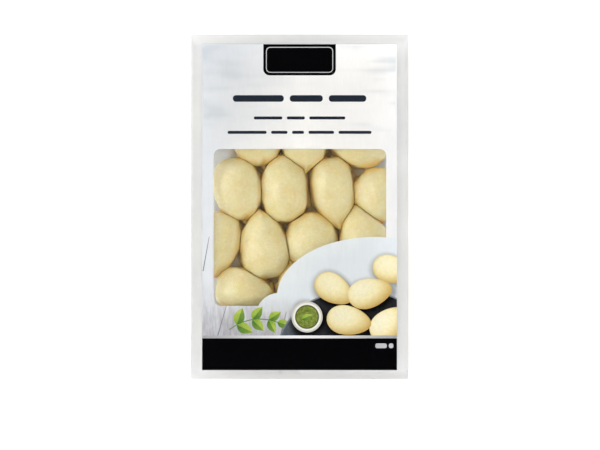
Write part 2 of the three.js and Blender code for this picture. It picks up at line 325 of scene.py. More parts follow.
# ------------------------------------------------------------------ mesh helpers
def mesh_object(name, vertices, faces, materials, smooth=True, sharp_from=None):
    """A new object in the scene, smooth but for folds sharper than an angle in degrees."""
    mesh = bpy.data.meshes.new(name)
    mesh.from_pydata([tuple(v) for v in vertices], [], [tuple(f) for f in faces])
    for material in materials:
        mesh.materials.append(material)
    if smooth:
        mesh.shade_smooth()
    if sharp_from is not None:
        mesh.set_sharp_from_angle(angle=math.radians(sharp_from))
    mesh.update()
    made = bpy.data.objects.new(name, mesh)
    bpy.context.scene.collection.objects.link(made)
    return made


SQUARE = ((1, 1), (-1, 1), (-1, -1), (1, -1))  # corners, anticlockwise


def rounded_rectangle(half_x, half_y, radius, steps):
    """Points anticlockwise round a rounded rectangle centred on the origin."""
    points = []
    for corner, (sign_x, sign_y) in enumerate(SQUARE):
        for step in range(steps + 1):
            angle = (corner + step / steps) * math.pi / 2
            x = sign_x * (half_x - radius) + radius * math.cos(angle)
            y = sign_y * (half_y - radius) + radius * math.sin(angle)
            points.append((x, y))
    return points


# ------------------------------------------------------------------ tray
TRAY_CORNER_STEPS = 14
TRAY_FILLET_STEPS = 8


def opening_ring(inset, z):
    """A ring that runs a distance inside the opening, at one height."""
    outline = rounded_rectangle(
        OPENING_X - inset, OPENING_Y - inset, OPENING_RADIUS - inset, TRAY_CORNER_STEPS
    )
    return [(x, y, z) for x, y in outline]


def flange_ring(inset, z):
    """The same from the flange's outer edge."""
    outline = rounded_rectangle(
        HALF_WIDTH - inset, HALF_LENGTH - inset, CUT_CORNER, TRAY_CORNER_STEPS
    )
    return [(x, y, z) for x, y in outline]


def tray_rings():
    """Rings from the middle of the underside, out to the flange and back in to the floor."""
    ledge = FLANGE_TOP - STEP_DEPTH
    centre_z = SHEET + FILLET
    foot_z = centre_z - FILLET * math.sin(DRAFT)
    foot_inset = STEP_INSET + (ledge - foot_z) * math.tan(DRAFT)
    centre_inset = foot_inset + FILLET * math.cos(DRAFT)

    def fillet_rings(radius):
        rings = []
        for step in range(TRAY_FILLET_STEPS + 1):
            angle = (math.pi / 2 - DRAFT) * step / TRAY_FILLET_STEPS
            inset = centre_inset - radius * math.sin(angle)
            rings.append(opening_ring(inset, centre_z - radius * math.cos(angle)))
        return rings

    outer_ledge = ledge - SHEET
    outer_top_inset = STEP_INSET + SHEET * math.tan(DRAFT) - SHEET / math.cos(DRAFT)
    soft = SHEET / 3  # size of the bevel along each fold
    return [
        *fillet_rings(FILLET + SHEET),
        opening_ring(outer_top_inset, outer_ledge - soft),
        opening_ring(outer_top_inset - soft, outer_ledge),
        opening_ring(soft - SHEET, outer_ledge),
        opening_ring(-SHEET, outer_ledge + soft),
        opening_ring(-SHEET, FLANGE_TOP - SHEET - soft),
        opening_ring(-SHEET - soft, FLANGE_TOP - SHEET),
        flange_ring(0, FLANGE_TOP - SHEET),
        flange_ring(0, FLANGE_TOP),
        opening_ring(-soft, FLANGE_TOP),
        opening_ring(0, FLANGE_TOP - soft),
        opening_ring(0, ledge + soft),
        opening_ring(soft, ledge),
        opening_ring(STEP_INSET - soft, ledge),
        opening_ring(STEP_INSET, ledge - soft),
        *reversed(fillet_rings(FILLET)),
    ]


def make_tray(material):
    """The tray's sheet as one closed surface through its rings."""
    rings = tray_rings()
    count = len(rings[0])
    vertices = [point for ring in rings for point in ring]
    faces = []
    for low in range(0, (len(rings) - 1) * count, count):
        for i in range(count):
            after = (i + 1) % count
            faces.append((low + i, low + after, low + count + after, low + count + i))
    faces.append(tuple(reversed(range(count))))
    faces.append(tuple(range(len(vertices) - count, len(vertices))))
    tray = mesh_object("clear_tray", vertices, faces, [material], sharp_from=40)
    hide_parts("tray")
    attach(tray, "root")


# ------------------------------------------------------------------ dumplings
DOUGH_LEVELS = 2  # of subdivision
CLEAR = 0.26 * MM  # left between two dumplings

END_LENGTH = 6 * MM  # of each end of a dumpling, over which its width is taken
NIB = 3 * MM  # how far the drawn-out end is pinched out at most
NIB_RADIUS = 2.4 * MM
NIB_LIFT = 0.8  # how steeply the nib points up
NIB_SIGHT = 4 * NIB  # how far off something is looked for beyond the nib

RIDGES = (-74, -8, 70)  # degrees from straight up round a dumpling's long axis
RIDGE_JITTER = 14  # degrees
RIDGE_WIDTH = 19  # degrees
RIDGE_HEIGHT = 0.6  # mm at the drawn-out end
RIDGE_SINK = 0.25  # how far the dough between ridges sinks, as a share of their height
RIDGE_START = -0.25  # where ridges begin to rise, from 0 at the middle to 1 at the tip
RIDGE_SPAN = 1.05  # over how much of that way they rise

# Kneaded relief, with its sizes across and its heights in mm:
HOLLOW_SIZE, HOLLOW_HEIGHT = 9, 0.5
CREASE_SIZE, CREASE_DEPTH = 7, 0.5
CREASE_EDGE = 0.2  # size of the noise below which the dough creases
CRUMB_SIZE, CRUMB_HEIGHT = 2.4, 0.07
SIDE_ROOM, TOP_ROOM = 0.12, 0.5  # how far relief may rise on a side, and how much more on top
SEED_SHIFT = (3.1, 1.7, 5.3)  # how far apart in the noise two dumplings are taken

FLANK = 0.2  # level part of a surface's normal from which the surface is a flank
FLANK_FADE = 0.4
SETTLE_REACH = 7 * MM  # how far an underside spreads at most
SETTLE_TOP = 8.5 * MM  # height above which an underside doesn't spread
SETTLE_FADE = 4 * MM
SETTLE_SMOOTHING = 2  # rounds
CONTACT_REACH = 0.7 * MM  # half the widest gap that two flanks bulge to close
CONTACT_TOP = 18 * MM  # height above which flanks stay apart
CONTACT_FADE = 4 * MM
SHELTER = 18 * MM  # distance from the tray's walls within which undersides don't spread
SHELTER_FADE = 8 * MM
GAP_SHADE_TOP = 18 * MM  # height above which a dumpling's side takes no painted shade
GAP_SHADE_FADE = 13 * MM
GAP_SHADE_REACH = 12 * MM  # a side takes no painted shade if its neighbour stands this far off, and full painted shade within half of it

PART_REACH = 1.5 * MM  # deepest meeting of two dumplings that is looked for
PART_ROUNDS = 8


def smooth_copy(node, name):
    """A finer, rounded copy of a CAD solid's mesh."""
    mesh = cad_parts[node].data.copy()
    made = bpy.data.objects.new(name, mesh)
    bpy.context.scene.collection.objects.link(made)
    shape = bmesh.new()
    shape.from_mesh(mesh)
    bmesh.ops.remove_doubles(shape, verts=shape.verts, dist=0.01 * MM)
    shape.to_mesh(mesh)
    shape.free()
    finer = made.modifiers.new("finer", "SUBSURF")
    finer.levels = finer.render_levels = DOUGH_LEVELS
    graph = bpy.context.evaluated_depsgraph_get()
    made.data = bpy.data.meshes.new_from_object(made.evaluated_get(graph), depsgraph=graph)
    made.modifiers.clear()
    bpy.data.meshes.remove(mesh)
    made.data.name = name
    return made


def vertex_places(mesh):
    places = np.empty(len(mesh.vertices) * 3)
    mesh.vertices.foreach_get("co", places)
    return places.reshape(-1, 3)


def vertex_normals(mesh):
    return np.array([vertex.normal for vertex in mesh.vertices])


def move_vertices(mesh, places):
    mesh.vertices.foreach_set("co", places.ravel())
    mesh.update()


def fill_box(places, low, high):
    """Stretches points along each axis so that they just fill a box, as rounding shrinks them."""
    least, most = places.min(axis=0), places.max(axis=0)
    return np.array(low) + (places - least) * (np.array(high) - np.array(low)) / (most - least)


def sideways_of(way):
    """A level way turned a quarter to the left."""
    return np.array([-way[1], way[0]])


def drawn_end(places):
    """A dumpling's middle, the tip of its narrower end, and the level way between them."""
    centre = (places.min(axis=0) + places.max(axis=0)) / 2
    spread = (places - centre)[:, :2]
    farthest = spread[np.hypot(*spread.T).argmax()]
    ends = []
    for way in (farthest, -farthest):
        along = spread @ way / np.hypot(*way)
        across = spread[along > along.max() - END_LENGTH] @ sideways_of(way)
        ends.append((np.ptp(across), along.argmax()))
    tip = min(ends)[1]
    return centre, places[tip], spread[tip] / np.hypot(*spread[tip])


def ridge_relief(places, draw):
    """Soft ridges that run from the drawn-out end towards the middle, in millimetres."""
    centre, tip, way = drawn_end(places)
    spread = (places - centre)[:, :2]
    along = spread @ way
    across = spread @ sideways_of(way)
    angle = np.degrees(np.arctan2(across, places[:, 2] - centre[2]))
    fade = np.clip((along / along.max() - RIDGE_START) / RIDGE_SPAN, 0, 1)
    relief = np.full(len(places), -RIDGE_SINK)
    for ridge in RIDGES:
        away = (angle - ridge - draw.uniform(-RIDGE_JITTER, RIDGE_JITTER)) / RIDGE_WIDTH
        relief += np.exp(-(away**2))
    return RIDGE_HEIGHT * relief * fade


def surroundings(meshes):
    """One search tree over some meshes."""
    points, faces = [], []
    for mesh in meshes:
        start = len(points)
        points += [v.co.copy() for v in mesh.vertices]
        faces += [tuple(start + i for i in polygon.vertices) for polygon in mesh.polygons]
    return BVHTree.FromPolygons(points, faces)


def smoothed(values, mesh, rounds):
    """Values on vertices, averaged with those of their neighbours some rounds over."""
    edges = np.empty(2 * len(mesh.edges), int)
    mesh.edges.foreach_get("vertices", edges)
    first, second = edges[::2], edges[1::2]
    share = np.bincount(first, minlength=len(values)) + np.bincount(second, minlength=len(values))
    for _ in range(rounds):
        total = np.bincount(first, values[second], len(values))
        total += np.bincount(second, values[first], len(values))
        values = total / share
    return values


def sheltered(x, y):
    """0 near the tray's walls, 1 well inside, where only dough stands round a dumpling."""
    inward = min(OPENING_X - abs(x), OPENING_Y - abs(y))
    return clamped((inward - SHELTER) / SHELTER_FADE)


def keep_in_tray(places):
    """Holds points just inside the tray's slanting walls and just above its floor."""
    inset = STEP_INSET + (FLANGE_TOP - STEP_DEPTH - places[:, 2]) * math.tan(DRAFT) + SKIN_GAP
    for axis, half in enumerate((OPENING_X, OPENING_Y)):
        places[:, axis] = np.clip(places[:, axis], inset - half, half - inset)
    places[:, 2] = np.maximum(places[:, 2], SHEET + SKIN_GAP)


def pinch(mesh, dough, tray):
    """Draws a dumpling's drawn-out end into a small nib, as far as what stands beyond it allows."""
    places = vertex_places(mesh)
    _, tip, way = drawn_end(places)
    outward = Vector((*way, NIB_LIFT)).normalized()
    start = Vector(tip) + outward * CLEAR / 2
    beyond = min(tree.ray_cast(start, outward, NIB_SIGHT)[3] or NIB_SIGHT for tree in (dough, tray))
    nib = clamped(beyond - CLEAR, 0.0, NIB)
    away = np.linalg.norm(places - tip, axis=1) / NIB_RADIUS
    places += np.array(outward) * (nib * np.exp(-(away**2)))[:, None]
    move_vertices(mesh, places)


def eased(share):
    """A share held between 0 and 1 that starts and stops gently."""
    share = np.clip(share, 0, 1)
    return share**2 * (3 - 2 * share)


def settle(mesh, dough, tray):
    """Bulges the soft flanks and underside of a dumpling until they all but meet what is near, and
    stores on each vertex how much painted shade its side takes from a close neighbour low down.
    """
    places, normals = vertex_places(mesh), vertex_normals(mesh)
    spread, press, gap_shade = (np.zeros(len(places)) for _ in range(3))
    sideways = np.hypot(normals[:, 0], normals[:, 1])
    for index in np.flatnonzero((sideways > FLANK) & (places[:, 2] < GAP_SHADE_TOP)):
        outward = Vector((*normals[index, :2], 0)).normalized()
        start = Vector(places[index]) + outward * CLEAR / 2
        to_dough = dough.ray_cast(start, outward, GAP_SHADE_REACH)[3] or GAP_SHADE_REACH
        to_tray = tray.ray_cast(start, outward, GAP_SHADE_REACH)[3] or GAP_SHADE_REACH
        if to_dough < to_tray:
            half = max((to_dough - CLEAR / 2) / 2, 0.0)
            spread[index] = min(half, SETTLE_REACH) * sheltered(*places[index, :2])
            press[index] = half * clamped(2 - half / CONTACT_REACH)
        # Painted shade: full where the neighbour stands within half the reach, none at the full
        # reach.
        gap_shade[index] = min(2 - 2 * to_dough / GAP_SHADE_REACH, 1)
    low = eased((SETTLE_TOP - places[:, 2]) / SETTLE_FADE)
    high = eased((CONTACT_TOP - places[:, 2]) / CONTACT_FADE)
    spread = low * np.minimum(spread, smoothed(spread, mesh, SETTLE_SMOOTHING))
    press = high * np.minimum(press, smoothed(press, mesh, SETTLE_SMOOTHING))
    gap_shade *= np.clip((GAP_SHADE_TOP - places[:, 2]) / GAP_SHADE_FADE, 0, 1)
    mesh.attributes.new("gap_shade", "FLOAT", "POINT")
    mesh.attributes["gap_shade"].data.foreach_set("value", smoothed(gap_shade, mesh, SETTLE_SMOOTHING))
    steep = np.clip((sideways - FLANK) / FLANK_FADE, 0, 1) / np.maximum(sideways, FLANK)
    places[:, :2] += normals[:, :2] * (steep * np.maximum(spread, press))[:, None]
    move_vertices(mesh, places)


def knead(mesh, seed):
    """Uneven hand-shaped relief: ridges, broad hollows, a few soft creases and a fine crumb."""
    shift = Vector([seed * step for step in SEED_SHIFT])
    places, normals = vertex_places(mesh), vertex_normals(mesh)
    rise = ridge_relief(places, np.random.default_rng(seed))
    for index, place in enumerate(places / MM):
        spot = Vector(place)
        hollow = noise.noise(spot / HOLLOW_SIZE + shift)
        crease = min(abs(noise.noise(spot / CREASE_SIZE + 2 * shift)) - CREASE_EDGE, 0.0)
        crumb = noise.fractal(spot / CRUMB_SIZE + shift, 1.0, 2.0, 2)
        rise[index] += HOLLOW_HEIGHT * hollow + CREASE_DEPTH * crease + CRUMB_HEIGHT * crumb
    room = SIDE_ROOM + TOP_ROOM * np.clip(normals[:, 2], 0, 1) ** 2
    places += normals * (np.minimum(rise, room) * MM)[:, None]
    keep_in_tray(places)
    move_vertices(mesh, places)


def part(pieces):
    """Draws neighbouring dumplings back from each other where they still meet, half way each."""
    trees = [surroundings([piece.data]) for piece in pieces]
    clouds = [vertex_places(piece.data) for piece in pieces]
    moved = [cloud.copy() for cloud in clouds]
    for first, cloud in enumerate(clouds):
        for second, other in enumerate(clouds):
            if first == second:
                continue
            near = (cloud > other.min(axis=0) - CLEAR) & (cloud < other.max(axis=0) + CLEAR)
            for index in np.flatnonzero(near.all(axis=1)):
                place = Vector(cloud[index])
                hit, normal, _, away = trees[second].find_nearest(place, PART_REACH)
                if hit is None:
                    continue
                apart = away if (place - hit).dot(normal) > 0 else -away
                if apart < CLEAR:
                    moved[first][index] += np.array(normal) * (CLEAR - apart) / 2
    for piece, places in zip(pieces, moved):
        keep_in_tray(places)
        move_vertices(piece.data, places)


def make_dumplings(material):
    """Rounds each dumpling, settles it on its neighbours, pinches and kneads it, then parts all."""
    pieces = [smooth_copy(node, node.replace("gnocchi", "dumpling")) for node in DOUGH_NODES]
    for piece, node in zip(pieces, DOUGH_NODES):
        move_vertices(piece.data, fill_box(vertex_places(piece.data), *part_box(node)))
    dough = surroundings([piece.data for piece in pieces])
    tray = surroundings([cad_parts["tray"].data])
    for seed, (piece, node) in enumerate(zip(pieces, DOUGH_NODES), start=1):
        settle(piece.data, dough, tray)
        pinch(piece.data, dough, tray)
        knead(piece.data, seed)
        piece.data.materials.clear()
        piece.data.materials.append(material)
        piece.data.shade_smooth()
        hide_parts(node)
        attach(piece, "root")
    for _ in range(PART_ROUNDS):
        part(pieces)


# ------------------------------------------------------------------ printed film: outlines
# The print is laid out in millimetres from the middle of the film, x to the right, y up.
PRINT_X = 65.0
PRINT_TOP = 108.4
PRINT_BOTTOM = -109.0
BAND_TOP = -87.8
SILVER_TOP = -85.9
WINDOW = (-57.3, -66.1, 57.8, 38.5)  # low x, low y, high x, high y
WINDOW_RADIUS = 4.5
SWEEP = (49.6, -60.2, 64.7, 40.0)  # ellipse that cuts the window: middle, then radii
SLATE = (38, -97, 52, 41)  # printed round board: middle, then radii
SLATE_RIM = 1


def ring_points(centre_x, centre_y, radius_x, radius_y, count=40):
    """Points round an ellipse."""
    angles = [2 * math.pi * i / count for i in range(count)]
    return [(centre_x + radius_x * math.cos(a), centre_y + radius_y * math.sin(a)) for a in angles]


def box_points(low_x, low_y, high_x, high_y, radius=0.0):
    """Corners of a box, rounded if asked."""
    middle_x, middle_y = (low_x + high_x) / 2, (low_y + high_y) / 2
    half_x, half_y = (high_x - low_x) / 2, (high_y - low_y) / 2
    if radius == 0:
        return [(middle_x + sx * half_x, middle_y + sy * half_y) for sx, sy in SQUARE]
    return [(middle_x + x, middle_y + y) for x, y in rounded_rectangle(half_x, half_y, radius, 6)]


def bend(start, control, end, count=8):
    """Points along a quadratic curve."""
    points = []
    for i in range(count + 1):
        t = i / count
        near, middle, far = (1 - t) ** 2, 2 * t * (1 - t), t**2
        axes = zip(start, control, end)
        points.append(tuple(near * a + middle * b + far * c for a, b, c in axes))
    return points


def blend(low, high, share):
    """A colour part of the way from one to another."""
    share = clamped(share)
    return tuple(a + (b - a) * share for a, b in zip(low, high))


# ------------------------------------------------------------------ printed film: paints
# A paint gives (red, green, blue, share of its texture) on a 0 to 255 screen scale for a point.
def plain(red, green, blue, texture=0.0):
    """A paint of one colour."""
    return lambda x, y: (red, green, blue, texture)


def margin_paint(x, y):
    """The unprinted margin, darkest along the bottom edge, with painted shade on its left side and
    painted light on its right that even out the studio light seen through it.
    """
    if y < PRINT_BOTTOM:
        return (181, 181, 182, 0.0)
    if y > PRINT_TOP:
        return (201, 201, 202, 0.0)
    near_print = 1 - (abs(x) - PRINT_X) / 5
    # Painted light and shade: the right half is painted lighter and the left darker, against the
    # uneven light and shadow under the clear margin.
    share = (x > 0) + 0.4 * min(near_print, 1)
    return (*blend((178, 178, 181), (220, 220, 223), share), 0.0)


def ground_paint(x, y):
    """Pale boards, cooler to the left, blurred far up and worn and grey towards the bottom."""
    cool, middle = (218, 222, 229), (255, 255, 255)
    warm = blend((236, 237, 241), (248, 248, 250), (y - 30) / 30)
    across = (x + PRINT_X) / (2 * PRINT_X)
    if across < 0.5:
        tone = blend(cool, middle, 2 * across)
    else:
        tone = blend(middle, warm, 2 * across - 1)
    tone = blend(tone, (208, 212, 219), 0.8 * min((y - 76) / 28, 1 - across * 2))
    smudge = 1.5 * (noise.noise(Vector((x / 26, y / 5, 7.3))) - 0.12)
    upper, outer = clamped((y - 40) / 20), (x / PRINT_X) ** 2
    tone = blend(tone, (188, 197, 204), smudge * upper * outer)
    tone = blend(tone, (188, 190, 196), (-50 - y) / 36)
    return (*tone, 0.08 + 0.92 * clamped((-52 - y) / 24))


def sweep_paint(x, y):
    """The pale table behind what is served, worn and grey towards the bottom."""
    depth = (-60 - y) / 22
    tone = blend((229, 236, 243), (200, 199, 201), depth)
    tone = blend(tone, (128, 130, 132), 0.75 * served_shadow(x, y))
    return (*tone, 0.1 + 0.7 * clamped(depth))


def silver_paint(x, y):
    return (*blend((255, 255, 255), (156, 156, 159), abs(x / PRINT_X) ** 1.5), 0.0)


def slate_paint(x, y):
    tone = blend((92, 100, 108), (40, 41, 45), (x + 12) / 30)
    return (*blend(tone, (10, 10, 12), 0.9 * served_shadow(x, y)), 0.4)


DISH = (5.0, -73.5, 10.4, 10.4, 0)  # middle, radii and turn of the printed dish
SERVED = (  # the same for each printed dumpling, from front to back
    (33, -76, 15.0, 9.6, -10),
    (60, -78, 14.5, 9.8, 38),
    (47, -57.5, 15.0, 9.8, 14),
    (23, -55, 14.0, 9.4, -32),
    (62, -42, 13.5, 9.0, -16),
)
EGG_TAPER = 0.2  # how much narrower a printed dumpling is at one end
SHADOW_SHIFT = (1.3, -1.7)
SHADOW_REACH = 0.4  # how far a shadow fades, as a share of the radius


def egg_points(egg, size=1.0, shift=(0, 0), count=40):
    """Points round an egg-shaped outline, made larger and moved if asked."""
    centre_x, centre_y, radius_x, radius_y, turn = egg
    slant = math.radians(turn)
    points = []
    for i in range(count):
        angle = 2 * math.pi * i / count
        along = size * radius_x * math.cos(angle)
        across = size * radius_y * math.sin(angle) * (1 - EGG_TAPER * math.cos(angle))
        x = centre_x + shift[0] + along * math.cos(slant) - across * math.sin(slant)
        y = centre_y + shift[1] + along * math.sin(slant) + across * math.cos(slant)
        points.append((x, y))
    return points


def egg_place(egg, x, y):
    """Where a point lies in an egg: along it and across it, each 1 at the outline."""
    centre_x, centre_y, radius_x, radius_y, turn = egg
    slant = math.radians(turn)
    dx, dy = x - centre_x, y - centre_y
    along = (dx * math.cos(slant) + dy * math.sin(slant)) / radius_x
    across = (dy * math.cos(slant) - dx * math.sin(slant)) / radius_y
    return along, across / (1 - EGG_TAPER * clamped(along, -1, 1))


def served_shadow(x, y):
    """How deep a point of the printed board lies in the shadow of what is served on it."""
    deepest = 0.0
    for egg in (*SERVED, DISH):
        reach = math.hypot(*egg_place(egg, x - SHADOW_SHIFT[0], y - SHADOW_SHIFT[1]))
        deepest = max(deepest, min((1 + SHADOW_REACH - reach) / SHADOW_REACH, 1.0))
    return deepest**1.5


def rounded_paint(egg):
    """The look of a rounded dumpling inside an egg-shaped outline, lit from the upper left."""

    def paint(x, y):
        along, across = egg_place(egg, x, y)
        height = math.sqrt(max(1 - along**2 - across**2, 0.0))
        aside = (x - egg[0]) / egg[2]
        facing = 0.7 * height + 0.32 * across - 0.3 * aside + 0.1
        body = blend(CREAM_SHADE, CREAM, 1.5 * facing)
        return (*blend(body, CREAM_SHINE, 2.0 * (facing - 0.6)), 0.1)

    return paint


# ------------------------------------------------------------------ printed film: design
SHAPES = []  # (outline, paint, ink); the first shape that holds a point colours it
GUIDES = []  # extra rings of points that carry a shape's shading
GUIDE_POINTS = 28
CREAM, CREAM_SHADE, CREAM_SHINE = (244, 232, 178), (203, 168, 92), (254, 251, 230)
NAVY, INK_BLACK = (36, 43, 54), (5, 5, 7)
LEAF_GREENS = (  # side of the midrib, colour at the stalk and at the tip
    (1, (134, 168, 60), (196, 212, 96)),
    (-1, (70, 118, 48), (142, 172, 70)),
)
LEAF_SPREAD = 48  # degrees between a stem and its leaves
LEAF_SHRINK = 0.09  # from one pair of leaves to the next
STEM_HALF = 0.35


def shape(outline, paint, ink="ink"):
    """Adds a shape to the print, under those added before it."""
    SHAPES.append((outline, paint, ink))


def word_bars(centre_y, height, words, gap):
    """A line of print as plain rounded bars, one for each word."""
    x = -(sum(words) + gap * (len(words) - 1)) / 2
    low, high = centre_y - height / 2, centre_y + height / 2
    for width in words:
        shape(box_points(x, low, x + width, high, height / 2.2), plain(*NAVY))
        x += width + gap


def served_dumpling(egg):
    """One printed dumpling, with the rings that carry its shading."""
    for size in (0.3, 0.55, 0.75, 0.9):
        GUIDES.append(egg_points(egg, size, count=GUIDE_POINTS))
    shape(egg_points(egg), rounded_paint(egg))


def leaf(base_x, base_y, heading, length, width):
    """A pointed leaf in two greens, parted by its midrib."""
    slant = math.radians(heading)

    def place(along, across):
        x = base_x + along * math.cos(slant) - across * math.sin(slant)
        y = base_y + along * math.sin(slant) + across * math.cos(slant)
        return (x, y)

    def paint(dark, light):
        return lambda x, y: (*blend(dark, light, math.hypot(x - base_x, y - base_y) / length), 0.3)

    for side, dark, light in LEAF_GREENS:
        edge = [
            place(length * t / 8, side * width / 2 * math.sin(math.pi * (t / 8) ** 0.8))
            for t in range(9)
        ]
        shape(edge, paint(dark, light))


def sprig(start, control, end, pairs, length, width):
    """A curved stem with pairs of small leaves that shrink towards its tip."""
    stem = bend(start, control, end, 2 * pairs)
    for i in range(pairs):
        (x, y), (next_x, next_y) = stem[2 * i + 1], stem[2 * i + 2]
        heading = math.degrees(math.atan2(next_y - y, next_x - x))
        size = 1 - LEAF_SHRINK * i
        for side in (1, -1):
            leaf(x, y, heading + side * LEAF_SPREAD, length * size, width * size)
    leaf(*stem[-1], heading, length * 0.8, width * 0.8)
    upper = [(x, y + STEM_HALF) for x, y in stem]
    lower = [(x, y - STEM_HALF) for x, y in reversed(stem)]
    shape(upper + lower, plain(112, 138, 66))


def lay_out_print():
    """Everything printed on the film, from what lies on top down to the ground."""
    # Black band with two small bars in it, and the silver line above it.
    for x, width in ((50.6, 7.6), (59.6, 3.0)):
        shape(box_points(x, -94.4, x + width, -91.2, 1.2), plain(196, 196, 198))
    shape(box_points(-PRINT_X, PRINT_BOTTOM, PRINT_X, BAND_TOP), plain(*INK_BLACK))
    shape(box_points(-PRINT_X, BAND_TOP, PRINT_X, SILVER_TOP), silver_paint)

    # Black tab at the top edge, bare but for a thin line inside its edge.
    tab = (-24.2, 87.6, 24.2, PRINT_TOP + 6)
    keyline, line = 1.8, 0.5
    inner = (tab[0] + keyline, tab[1] + keyline, tab[2] - keyline, PRINT_TOP - keyline)
    core = (inner[0] + line, inner[1] + line, inner[2] - line, inner[3] - line)
    shape(box_points(*core, 2.4), plain(*INK_BLACK))
    shape(box_points(*inner, 2.8), plain(205, 206, 208))
    shape(box_points(*tab, 4.2), plain(*INK_BLACK))

    # Bars in the place of words.
    word_bars(72.2, 4.4, (34, 22, 25), 4.0)
    word_bars(59.2, 2.0, (19, 12, 24), 3.0)
    word_bars(49.6, 2.0, (26, 11, 8, 17, 22), 3.0)

    # Dish of sauce, dumplings, round board and sprig.
    leaf(DISH[0] - 3.4, DISH[1] - 1.6, 24, 7.4, 4.4)
    for radius, paint in (
        (7.2, plain(128, 144, 62, 0.9)),
        (8.0, plain(84, 92, 48, 0.3)),
        (9.3, plain(247, 245, 238)),
        (DISH[2], plain(216, 212, 203)),
    ):
        shape(ring_points(*DISH[:2], radius, radius), paint)
    for egg in SERVED:
        served_dumpling(egg)
    for egg in (*SERVED, DISH):
        for size in (1 + SHADOW_REACH / 2, 1 + SHADOW_REACH):
            GUIDES.append(egg_points(egg, size, SHADOW_SHIFT, GUIDE_POINTS))
    shape(ring_points(*SLATE, 64), slate_paint)
    rim = (*SLATE[:2], SLATE[2] + SLATE_RIM, SLATE[3] + SLATE_RIM)
    shape(ring_points(*rim, 64), plain(124, 130, 138, 0.2))
    sprig((-47, -82), (-32, -71), (-15, -77), 3, 12.0, 7.4)

    # Joints between the boards.
    for (top_x, top_y), (foot_x, foot_y) in (
        ((-60.5, -20), (-64.8, -43)),
        ((-49.0, -66), (-55.5, BAND_TOP)),
        ((-9.0, -70), (-13.5, BAND_TOP)),
    ):
        joint = [(top_x, top_y), (top_x + 0.4, top_y), (foot_x + 0.8, foot_y), (foot_x, foot_y)]
        shape(joint, plain(138, 136, 146))

    # Sweep that cuts the window, with its foot, and the boards round the window.
    foot_start, foot_end = (-15.1, -57.5), (-27.6, WINDOW[1] - 0.2)
    foot = bend(foot_start, (-23.5, -58.5), foot_end) + [(-27.6, -70), (0, -70), (0, -57.5)]
    shape(ring_points(*SWEEP, 96), sweep_paint, "wood")
    shape(foot, sweep_paint, "wood")
    shape(box_points(*WINDOW, WINDOW_RADIUS), None, "window")
    shape(box_points(-PRINT_X, PRINT_BOTTOM, PRINT_X, PRINT_TOP), ground_paint, "wood")


# ------------------------------------------------------------------ printed film: mesh
RIPPLE = 0.1 * MM  # unevenness of the stretched film
CROWN_POWER = 1.3  # how much the bulge keeps to the middle
COARSE, FINE = 4.0, 2.0  # spacing of the film's points, and where its paint is shaded


def inside(outline, points):
    """Which of the points lie inside a closed outline."""
    x, y = points[:, 0], points[:, 1]
    held = np.zeros(len(points), bool)
    for (ax, ay), (bx, by) in zip(outline, outline[1:] + outline[:1]):
        crosses = (ay > y) != (by > y)
        rise = by - ay if by != ay else 1e-12
        held ^= crosses & (x < (bx - ax) * (y - ay) / rise + ax)
    return held


def film_height(x, y):
    """Height of the film's underside: flat on the flange, softly bulged and uneven inside."""
    across = max(1 - (x * MM / OPENING_X) ** 2, 0.0)
    along = max(1 - (y * MM / OPENING_Y) ** 2, 0.0)
    crown = (FILM_CROWN - RIPPLE) * (across * along) ** CROWN_POWER
    ripple = RIPPLE * noise.noise(Vector((x / 24, y / 30, 0.4)))
    return FLANGE_TOP + crown + ripple * min(4 * across * along, 1)


def grid(low_x, low_y, high_x, high_y, spacing):
    """Evenly spaced points over a box."""
    columns = int((high_x - low_x) / spacing)
    rows = int((high_y - low_y) / spacing)
    return [
        (low_x + (i + 0.5) * spacing, low_y + (j + 0.5) * spacing)
        for i in range(columns)
        for j in range(rows)
    ]


def triangulate():
    """Triangles over the whole film that keep every outline of the print."""
    edge_x, edge_y = HALF_WIDTH / MM, HALF_LENGTH / MM
    rim = rounded_rectangle(edge_x, edge_y, CUT_CORNER / MM, 5)
    points, edges = [], []
    for outline in [rim] + [outline for outline, _, _ in SHAPES] + GUIDES:
        start, count = len(points), len(outline)
        points += [(clamped(x, -edge_x, edge_x), clamped(y, -edge_y, edge_y)) for x, y in outline]
        edges += [(start + i, start + (i + 1) % count) for i in range(count)]
    points += grid(-edge_x, -edge_y, edge_x, edge_y, COARSE)
    points += grid(-12, SILVER_TOP - 0.1, PRINT_X, -44, FINE)
    points += grid(-PRINT_X, 42, PRINT_X, PRINT_TOP, FINE)
    placed = [Vector(point) for point in points]
    corners, _, triangles, *_ = delaunay_2d_cdt(placed, edges, [], 0, 1e-4, False)
    return np.array([tuple(corner) for corner in corners]), [tuple(t) for t in triangles]


def make_film(inks):
    """The film as a closed sheet, with the print's colours on its upper face's corners."""
    corners, triangles = triangulate()
    middles = np.array([corners[list(t)].mean(axis=0) for t in triangles])
    owner = np.full(len(triangles), -1)
    for index, (outline, _, _) in enumerate(SHAPES):
        held = inside(outline, middles) & (owner < 0)
        owner[held] = index
    printed = inside(box_points(-PRINT_X, PRINT_BOTTOM, PRINT_X, PRINT_TOP), middles)
    owner[~printed] = -1

    under = [(x * MM, y * MM, film_height(x, y) + SKIN_GAP) for x, y in corners]
    over = [(x, y, z + FILM - SKIN_GAP) for x, y, z in under]
    count = len(corners)
    edges = dict.fromkeys(edge for t in triangles for edge in zip(t, t[1:] + t[:1]))
    rim = [(a, b) for a, b in edges if (b, a) not in edges]
    faces = [(a + count, b + count, c + count) for a, b, c in triangles]
    faces += [(c, b, a) for a, b, c in triangles]
    faces += [(a, b, b + count, a + count) for a, b in rim]

    names = ["seal", "wood", "ink", "window"]
    materials = [inks[name] for name in names]
    film = mesh_object("printed_film", under + over, faces, materials, sharp_from=50)
    paint_film(film.data, owner, names)
    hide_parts("lid_film")
    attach(film, "root")


